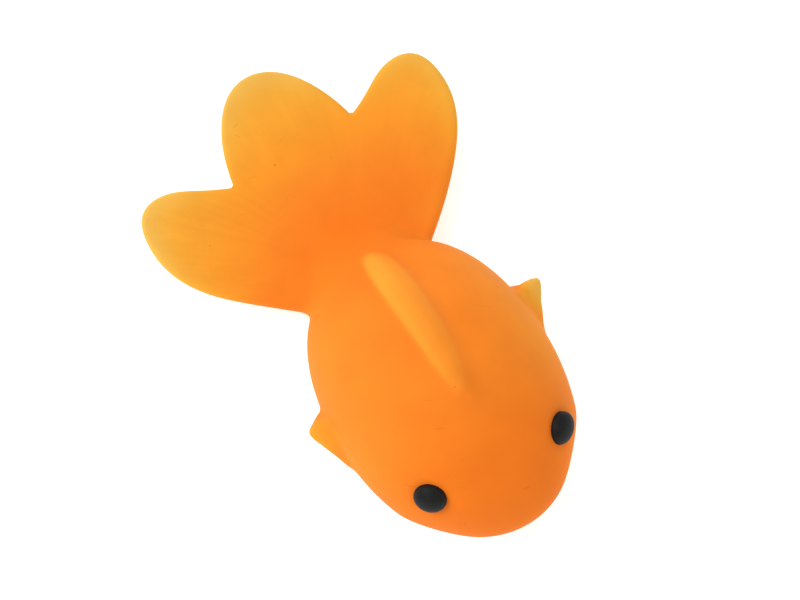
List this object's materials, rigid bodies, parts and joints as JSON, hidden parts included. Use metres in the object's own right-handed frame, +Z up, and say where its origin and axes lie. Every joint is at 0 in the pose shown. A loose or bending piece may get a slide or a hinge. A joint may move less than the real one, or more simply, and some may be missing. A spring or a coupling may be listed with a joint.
{
  "type": "fish squishy toy",
  "caption": "Palm-size soft rubber goldfish: gel-filled skin that squeezes flat and springs back, flexible fan tail of rounded lobes, side fins, low back keel and black dome eyes.",
  "frame": {"origin": "on the table, under the centre of the fish's bounding box", "axes": "-Y towards the nose, +Y towards the tail, +Z up through the back, +X to the fish's own left"},
  "size_m": [0.0386, 0.0602, 0.0217],
  "materials": {
    "skin_rubber": "matte, waxy, slightly translucent orange thermoplastic rubber",
    "fin_rubber": "matte translucent orange thermoplastic rubber, yellower where it is thin",
    "filling_gel": "soft pale orange gel",
    "plug_rubber": "matte orange rubber, poured flush",
    "eye_enamel": "soft-gloss black enamel dome"
  },
  "bodies": {
    "belly": {"belly_skin": "skin_rubber", "soft_core": "filling_gel", "belly_plug": "plug_rubber"},
    "back": {"back_skin": "skin_rubber", "dorsal_fin": "fin_rubber"},
    "eyes": {"eye_left": "eye_enamel", "eye_right": "eye_enamel"},
    "tail": {"tail_web": "fin_rubber"},
    "lobe_left": {"tail_lobe_left": "fin_rubber"},
    "lobe_middle": {"tail_lobe_middle": "fin_rubber"},
    "lobe_right": {"tail_lobe_right": "fin_rubber"},
    "fin_left": {"pectoral_fin_left": "fin_rubber"},
    "fin_right": {"pectoral_fin_right": "fin_rubber"}
  },
  "joints": [
    {"name": "squeeze", "type": "slide", "parent": "belly", "child": "back", "axis": [0, 0, -1], "range_m": [0, 0.007], "stiffness_N_per_m": 300, "deforming": ["belly_skin", "soft_core"]},
    {"name": "eyes_sink", "type": "slide", "parent": "belly", "child": "eyes", "axis": [0, 0, -1], "range_m": [0, 0.0035]},
    {"name": "tail_bend", "type": "hinge", "parent": "belly", "child": "tail", "pos_m": [0, 0.00745, 0.004], "axis": [1, 0, 0], "range_deg": [-4, 60], "stiffness_Nm_per_rad": 0.03},
    {"name": "lobe_left_bend", "type": "hinge", "parent": "tail", "child": "lobe_left", "pos_m": [0.0139, 0.01655, 0.004], "axis": [0.7255, -0.6883, 0], "range_deg": [-8, 40], "stiffness_Nm_per_rad": 0.008},
    {"name": "lobe_middle_bend", "type": "hinge", "parent": "tail", "child": "lobe_middle", "pos_m": [0, 0.02225, 0.004], "axis": [1, 0, 0], "range_deg": [-8, 40], "stiffness_Nm_per_rad": 0.008},
    {"name": "lobe_right_bend", "type": "hinge", "parent": "tail", "child": "lobe_right", "pos_m": [-0.0139, 0.01655, 0.004], "axis": [0.7255, 0.6883, 0], "range_deg": [-8, 40], "stiffness_Nm_per_rad": 0.008},
    {"name": "fin_left_bend", "type": "hinge", "parent": "belly", "child": "fin_left", "pos_m": [0.01372, -0.0105, 0.0063], "axis": [0.0108, -0.9999, 0], "range_deg": [-30, 30], "stiffness_Nm_per_rad": 0.002},
    {"name": "fin_right_bend", "type": "hinge", "parent": "belly", "child": "fin_right", "pos_m": [-0.01372, -0.0105, 0.0063], "axis": [0.0108, 0.9999, 0], "range_deg": [-30, 30], "stiffness_Nm_per_rad": 0.002}
  ],
  "couplings": [
    {"joint": "eyes_sink", "follows": "squeeze", "ratio": 0.486}
  ]
}
